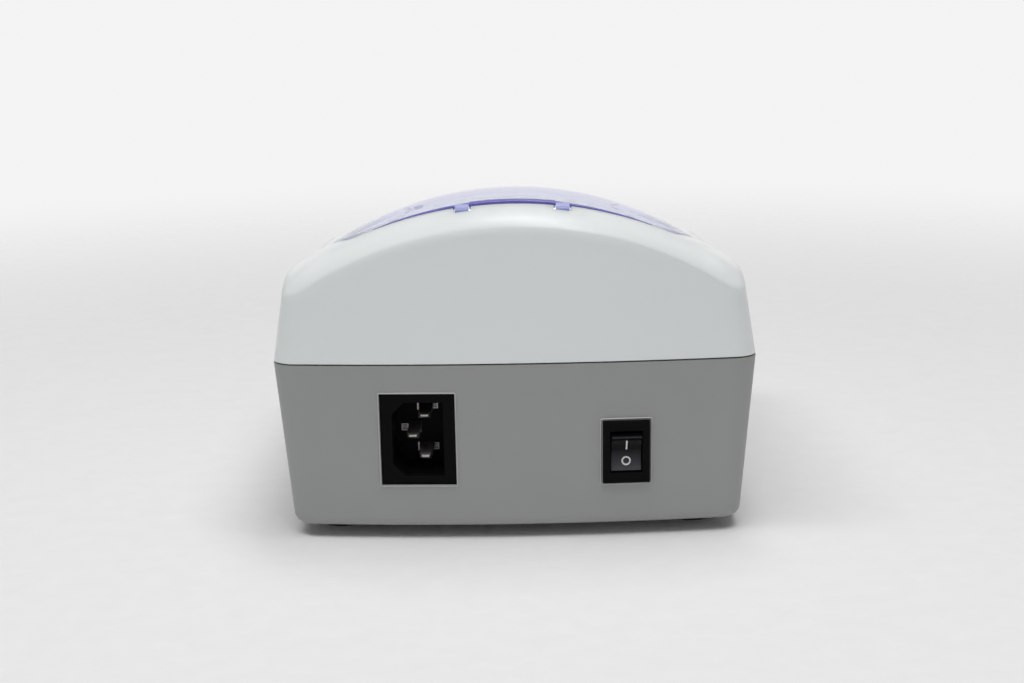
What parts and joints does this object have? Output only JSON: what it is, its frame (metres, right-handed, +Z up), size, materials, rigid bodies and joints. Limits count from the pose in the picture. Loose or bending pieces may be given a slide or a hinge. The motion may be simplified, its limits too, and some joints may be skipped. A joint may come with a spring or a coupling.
{
  "type": "microcentrifuge",
  "caption": "Benchtop microcentrifuge: two-part moulded housing, tinted domed lid on a rear hinge, angle rotor, rear mains inlet and rocker switch.",
  "frame": {"origin": "on the standing surface below the middle of the housing", "axes": "+Z up, front towards -Y, rear wall with the mains inlet towards +Y"},
  "size_m": [0.1562, 0.2002, 0.1109],
  "materials": {
    "upper_shell": "gloss white moulded plastic",
    "lower_shell": "light warm grey, fine moulded texture",
    "tinted_lid": "clear plastic with a blue-violet tint",
    "steel": "bright steel",
    "nickel": "nickel plate",
    "zinc_plate": "zinc-plated sheet",
    "rubber": "black rubber",
    "circuit_board": "green board",
    "bowl_plastic": "mid grey plastic",
    "rotor_plastic": "dark grey plastic",
    "knob_plastic": "black plastic",
    "motor_paint": "black coated steel",
    "lamination": "laminated steel",
    "black_plastic": "black plastic",
    "rocker_plastic": "glossy black plastic",
    "panel_grey": "grey printed plate",
    "window": "smoked clear plastic",
    "display": "dark display face",
    "key_plastic": "pale grey key",
    "start_key_plastic": "blue key",
    "transformer_tape": "yellow tape and ferrite",
    "capacitor_sleeve": "dark blue sleeve",
    "aluminium": "bare aluminium"
  },
  "bodies": {
    "housing": {"bulk_capacitor": "capacitor_sleeve", "catch_plates": "nickel", "control_board": "circuit_board", "control_board_screws": "steel", "damper_1": "rubber", "damper_2": "rubber", "damper_3": "rubber", "damper_nuts": "steel", "damper_screws": "steel", "display_module": "display", "display_window": "window", "foot_front_left": "rubber", "foot_front_right": "rubber", "foot_rear_left": "rubber", "foot_rear_right": "rubber", "foot_screws": "steel", "heat_sink": "aluminium", "hinge_pin": "steel", "housing_screws": "steel", "inlet_blades": "nickel", "inlet_body": "black_plastic", "key_switches": "black_plastic", "lid_bumpers": "rubber", "lid_sensor": "circuit_board", "lower_bearing": "steel", "lower_housing": "lower_shell", "mains_choke": "lamination", "motor_case": "motor_paint", "motor_end_cap": "motor_paint", "motor_gasket": "rubber", "motor_plate": "zinc_plate", "panel_plate": "panel_grey", "power_board": "circuit_board", "power_board_screws": "steel", "rotor_bowl": "bowl_plastic", "stator": "lamination", "switch_body": "black_plastic", "switch_terminals": "nickel", "transformer": "transformer_tape", "upper_bearing": "steel", "upper_housing": "upper_shell"},
    "lid": {"lid": "tinted_lid", "lid_magnets": "nickel"},
    "rotor": {"rotor": "rotor_plastic", "rotor_knob": "knob_plastic", "motor_shaft": "steel", "magnet_ring": "nickel"},
    "rocker": {"rocker": "rocker_plastic"},
    "slower_key": {"slower_key": "key_plastic"},
    "faster_key": {"faster_key": "key_plastic"},
    "start_key": {"start_key": "start_key_plastic"}
  },
  "joints": [
    {"name": "lid_hinge", "type": "hinge", "parent": "housing", "child": "lid", "pos_m": [0, 0.08, 0.1053], "axis": [-1, 0, 0], "range_deg": [0, 80]},
    {"name": "rotor_spin", "type": "hinge", "parent": "housing", "child": "rotor", "pos_m": [0, 0.012, 0.05], "axis": [0, 0, 1], "continuous": true},
    {"name": "rocker_tilt", "type": "hinge", "parent": "housing", "child": "rocker", "pos_m": [-0.03544, 0.09526, 0.0292], "axis": [0.9983, 0.0581, 0], "range_deg": [0, 24]},
    {"name": "slower_key_press", "type": "slide", "parent": "housing", "child": "slower_key", "axis": [0, 0.309, -0.9511], "range_m": [0, 0.0008], "stiffness_N_per_m": 400},
    {"name": "faster_key_press", "type": "slide", "parent": "housing", "child": "faster_key", "axis": [0, 0.309, -0.9511], "range_m": [0, 0.0008], "stiffness_N_per_m": 400},
    {"name": "start_key_press", "type": "slide", "parent": "housing", "child": "start_key", "axis": [0, 0.309, -0.9511], "range_m": [0, 0.0008], "stiffness_N_per_m": 400}
  ]
}
